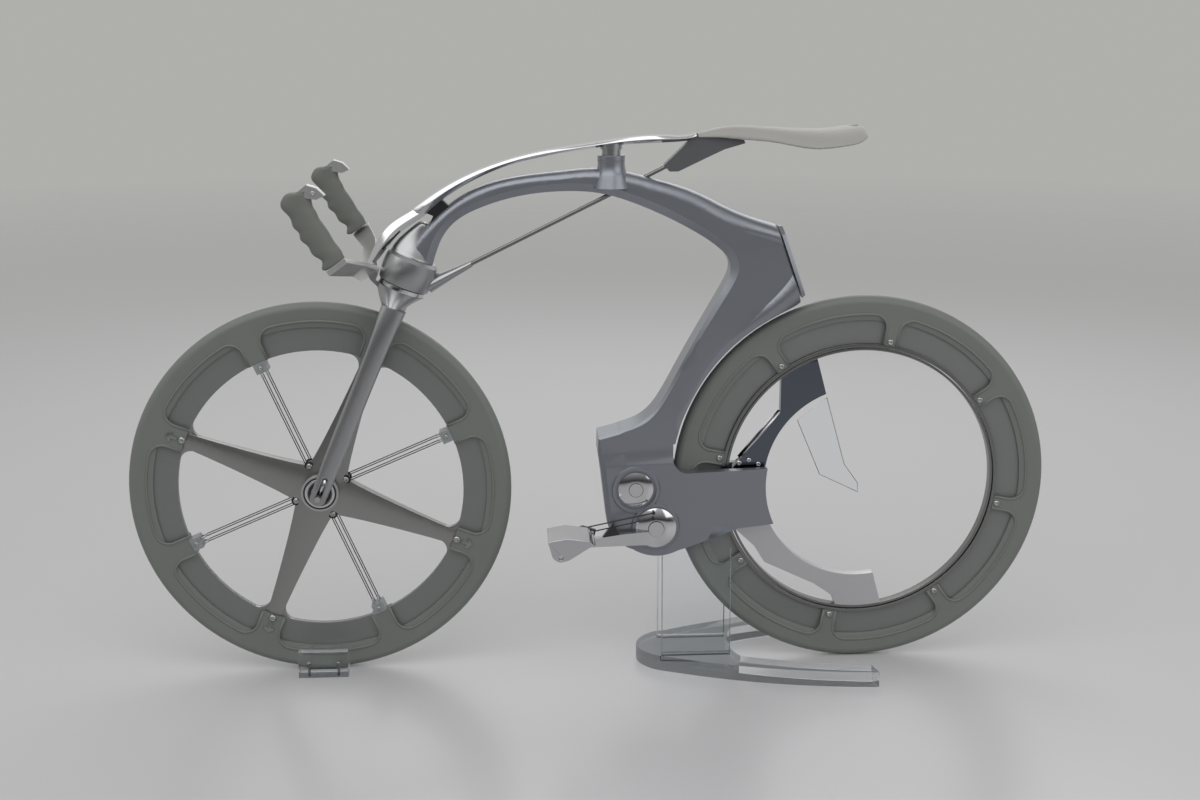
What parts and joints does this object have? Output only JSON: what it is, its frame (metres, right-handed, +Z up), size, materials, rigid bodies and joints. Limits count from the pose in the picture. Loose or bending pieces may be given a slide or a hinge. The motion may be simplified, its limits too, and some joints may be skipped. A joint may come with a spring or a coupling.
{
  "type": "bicycle",
  "caption": "Show bicycle with an arched frame, bladed front wheel and hubless rear wheel, standing on its clear stand and wheel chock.",
  "frame": {"origin": "on the floor, midway between the wheels and between left and right", "axes": "-X towards the front wheel, +Y to the bicycle's right side, +Z up"},
  "size_m": [1.628, 0.452, 0.9664],
  "materials": {
    "frame_satin": "satin metallic lacquer",
    "satin_aluminium": "satin",
    "polished": "polished",
    "dark_chrome": "polished, dark",
    "steel": "brushed",
    "dark_bracket": "gloss",
    "keel": "satin",
    "saddle_cover": "smooth matt",
    "clear_acrylic": "clear, polished edges",
    "tyre": "matt grey-green",
    "rim_mesh": "fine woven mesh",
    "blade_metal": "satin",
    "grip_rubber": "matt",
    "pedal_metal": "polished"
  },
  "bodies": {
    "frame": {"frame_arch": "frame_satin", "head_shell": "satin_aluminium", "head_spine": "polished", "strut_socket": "satin_aluminium", "saddle_strut": "steel", "saddle_beam": "polished", "pivot_block": "dark_bracket", "seat_post": "satin_aluminium", "seat_collar": "frame_satin", "saddle_keel": "keel", "saddle": "saddle_cover", "tail_panel": "frame_satin", "drive_housing": "frame_satin", "nose_cover": "frame_satin", "gear_cap": "polished", "carrier_upper": "dark_chrome", "carrier_lower": "satin_aluminium", "bearing_ring": "polished", "clear_blade": "clear_acrylic", "stand_base": "clear_acrylic", "stand_plate_left": "clear_acrylic", "stand_plate_right": "clear_acrylic"},
    "steering": {"fork": "satin_aluminium", "steering_ring": "polished", "stem_wedge": "polished", "handlebar": "polished", "grip_left": "grip_rubber", "grip_right": "grip_rubber", "grip_cap_left": "polished", "grip_cap_right": "polished", "front_axle": "steel", "wheel_chock": "clear_acrylic"},
    "front_wheel": {"front_tyre": "tyre", "front_rim": "rim_mesh", "front_spider": "blade_metal", "front_hub": "steel", "front_spokes": "steel", "wire_clips": "clear_acrylic"},
    "rear_wheel": {"rear_tyre": "tyre", "rear_rim": "rim_mesh", "rear_race": "polished"},
    "crank": {"crank_axle": "steel", "crank_disc_left": "polished", "crank_disc_right": "polished", "crank_arm_left": "polished", "crank_arm_right": "polished", "crank_truss_left": "dark_bracket", "crank_truss_right": "dark_bracket"},
    "pedal_left": {"pedal_left": "pedal_metal"},
    "pedal_right": {"pedal_right": "pedal_metal"}
  },
  "joints": [
    {"name": "steering", "type": "hinge", "parent": "frame", "child": "steering", "pos_m": [-0.479, 0, 0.335], "axis": [0.3907, 0, 0.9205], "range_deg": [-30, 30]},
    {"name": "front_wheel_spin", "type": "hinge", "parent": "steering", "child": "front_wheel", "pos_m": [-0.479, 0, 0.335], "axis": [0, 1, 0], "continuous": true},
    {"name": "rear_wheel_spin", "type": "hinge", "parent": "frame", "child": "rear_wheel", "pos_m": [0.479, 0, 0.335], "axis": [0, 1, 0], "continuous": true},
    {"name": "crank_spin", "type": "hinge", "parent": "frame", "child": "crank", "pos_m": [0.11, 0, 0.266], "axis": [0, 1, 0], "continuous": true},
    {"name": "pedal_left_spin", "type": "hinge", "parent": "crank", "child": "pedal_left", "pos_m": [-0.06156, -0.1, 0.24797], "axis": [0, 1, 0], "continuous": true},
    {"name": "pedal_right_spin", "type": "hinge", "parent": "crank", "child": "pedal_right", "pos_m": [0.28156, 0.1, 0.28403], "axis": [0, 1, 0], "continuous": true}
  ]
}
